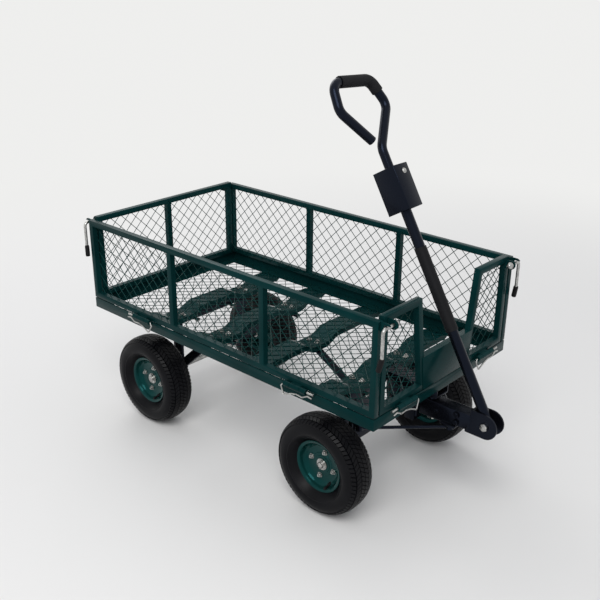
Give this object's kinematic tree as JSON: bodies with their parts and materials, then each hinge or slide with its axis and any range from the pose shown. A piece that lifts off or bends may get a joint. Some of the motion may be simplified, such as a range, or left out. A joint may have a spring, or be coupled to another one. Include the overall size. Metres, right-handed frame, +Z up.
{
  "type": "garden utility cart",
  "caption": "Garden cart on pneumatic wheels with a rectangular mesh bed, fold-down mesh sides, knuckle steering and a long pull handle with a loop grip.",
  "frame": {"origin": "centre of the bottom of the overall box, on the floor", "axes": "+X forward towards the handle, +Y left, +Z up"},
  "size_m": [1.1875, 0.578, 1.0128],
  "materials": {
    "green_paint": "gloss powder coat",
    "black_paint": "satin powder coat",
    "rim_paint": "gloss powder coat",
    "zinc": "zinc plated",
    "tyre": "matte rubber",
    "foam": "matte foam",
    "black_sleeve": "matte"
  },
  "bodies": {
    "chassis": {"deck_frame": "green_paint", "deck_mesh": "green_paint", "cross_members": "green_paint", "front_panel_frame": "green_paint", "front_panel_mesh": "green_paint", "front_panel_sheet": "green_paint", "rear_axle_frame": "black_paint", "rear_axle": "zinc", "front_axle_beam": "black_paint", "front_axle_brace": "black_paint", "steering_support": "black_paint", "steering_kingbolt": "zinc", "hinge_pins_front": "zinc", "hinge_pins_rear": "zinc", "hinge_pins_left": "zinc", "hinge_pins_right": "zinc", "front_latch_rods": "zinc"},
    "rear_panel": {"rear_panel_frame": "green_paint", "rear_panel_mesh": "green_paint", "rear_latch_rods": "zinc"},
    "right_panel": {"right_panel_frame": "green_paint", "right_panel_mesh": "green_paint"},
    "left_panel": {"left_panel_frame": "green_paint", "left_panel_mesh": "green_paint"},
    "tongue": {"tongue": "black_paint", "tongue_clevis": "black_paint", "handle_bolt": "zinc"},
    "handle": {"handle_shaft": "black_paint", "handle_sleeve": "black_sleeve", "hitch_box": "black_paint", "grip_loop": "black_paint", "grip_foam": "foam"},
    "knuckle_left": {"knuckle_left": "black_paint"},
    "knuckle_right": {"knuckle_right": "black_paint"},
    "tie_rod_left": {"tie_rod_left": "black_paint"},
    "tie_rod_right": {"tie_rod_right": "black_paint"},
    "wheel_front_left": {"tyre_front_left": "tyre", "rim_front_left": "rim_paint"},
    "wheel_front_right": {"tyre_front_right": "tyre", "rim_front_right": "rim_paint"},
    "wheel_rear_left": {"tyre_rear_left": "tyre", "rim_rear_left": "rim_paint"},
    "wheel_rear_right": {"tyre_rear_right": "tyre", "rim_rear_right": "rim_paint"}
  },
  "joints": [
    {"name": "steer", "type": "hinge", "parent": "chassis", "child": "tongue", "pos_m": [0.40975, 0, 0.258], "axis": [0, 0, 1], "range_deg": [-30, 30]},
    {"name": "knuckle_left_pivot", "type": "hinge", "parent": "chassis", "child": "knuckle_left", "pos_m": [0.25575, 0.152, 0.16], "axis": [0, 0, 1], "range_deg": [-30, 30]},
    {"name": "knuckle_right_pivot", "type": "hinge", "parent": "chassis", "child": "knuckle_right", "pos_m": [0.25575, -0.152, 0.16], "axis": [0, 0, 1], "range_deg": [-30, 30]},
    {"name": "tie_rod_left_pivot", "type": "hinge", "parent": "tongue", "child": "tie_rod_left", "pos_m": [0.46975, 0.014, 0.226], "axis": [0, 0, 1], "range_deg": [-30, 30]},
    {"name": "tie_rod_right_pivot", "type": "hinge", "parent": "tongue", "child": "tie_rod_right", "pos_m": [0.46975, -0.014, 0.226], "axis": [0, 0, 1], "range_deg": [-30, 30]},
    {"name": "handle_pivot", "type": "hinge", "parent": "tongue", "child": "handle", "pos_m": [0.56275, 0, 0.264], "axis": [0, 1, 0], "range_deg": [0, 132]},
    {"name": "left_panel_fold", "type": "hinge", "parent": "chassis", "child": "left_panel", "pos_m": [-0.06525, 0.282, 0.3435], "axis": [-1, 0, 0], "range_deg": [0, 168]},
    {"name": "right_panel_fold", "type": "hinge", "parent": "chassis", "child": "right_panel", "pos_m": [-0.06525, -0.282, 0.3435], "axis": [1, 0, 0], "range_deg": [0, 168]},
    {"name": "rear_panel_fold", "type": "hinge", "parent": "chassis", "child": "rear_panel", "pos_m": [-0.57575, 0, 0.3435], "axis": [0, -1, 0], "range_deg": [0, 168]},
    {"name": "wheel_rear_left_spin", "type": "hinge", "parent": "chassis", "child": "wheel_rear_left", "pos_m": [-0.38625, 0.221, 0.128], "axis": [0, 1, 0], "continuous": true},
    {"name": "wheel_rear_right_spin", "type": "hinge", "parent": "chassis", "child": "wheel_rear_right", "pos_m": [-0.38625, -0.221, 0.128], "axis": [0, 1, 0], "continuous": true},
    {"name": "wheel_front_left_spin", "type": "hinge", "parent": "knuckle_left", "child": "wheel_front_left", "pos_m": [0.25575, 0.221, 0.128], "axis": [0, 1, 0], "continuous": true},
    {"name": "wheel_front_right_spin", "type": "hinge", "parent": "knuckle_right", "child": "wheel_front_right", "pos_m": [0.25575, -0.221, 0.128], "axis": [0, 1, 0], "continuous": true}
  ],
  "couplings": [
    {"joint": "knuckle_left_pivot", "follows": "steer", "ratio": 1},
    {"joint": "knuckle_right_pivot", "follows": "steer", "ratio": 1},
    {"joint": "tie_rod_left_pivot", "follows": "steer", "ratio": -1},
    {"joint": "tie_rod_right_pivot", "follows": "steer", "ratio": -1}
  ]
}
